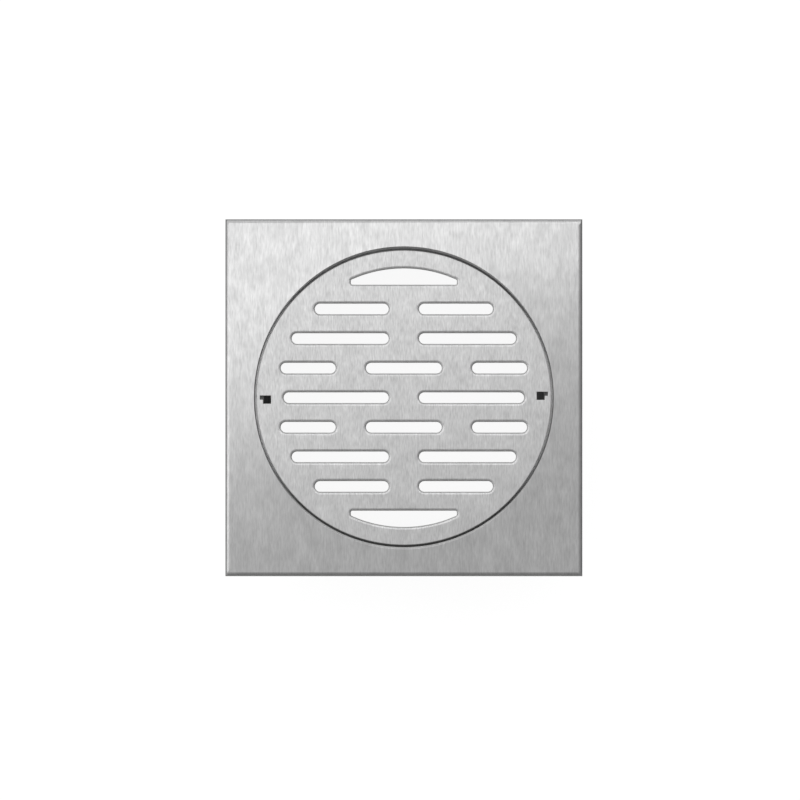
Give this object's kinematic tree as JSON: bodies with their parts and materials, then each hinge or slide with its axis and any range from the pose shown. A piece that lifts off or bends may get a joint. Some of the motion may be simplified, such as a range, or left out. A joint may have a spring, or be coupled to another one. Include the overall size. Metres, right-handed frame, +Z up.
{
  "type": "floor drain",
  "caption": "Square stainless floor drain with a round slotted grate that turns to lock in the frame, over a flanged bowl with a pipe spigot.",
  "frame": {"origin": "centre of the spigot's lower end, on the surface that the drain stands on before it is fitted", "axes": "+Z up through the grate, +X along the grate's slots, +Y along the brushed grain, across the slots"},
  "size_m": [0.15, 0.15, 0.05],
  "materials": {
    "frame_steel": "brushed in one direction, satin",
    "grate_steel": "brushed in one direction, satin, finer than the frame",
    "bowl_steel": "drawn sheet, dull",
    "lug_steel": "bent strip, dull"
  },
  "bodies": {
    "drain_body": {"frame": "frame_steel", "bowl": "bowl_steel"},
    "grate_body": {"grate": "grate_steel", "lock_lug_1": "lug_steel", "lock_lug_2": "lug_steel"}
  },
  "joints": [
    {"name": "grate_turn", "type": "hinge", "parent": "drain_body", "child": "grate_body", "pos_m": [0, 0, 0.047], "axis": [0, 0, 1], "range_deg": [0, 15]}
  ]
}
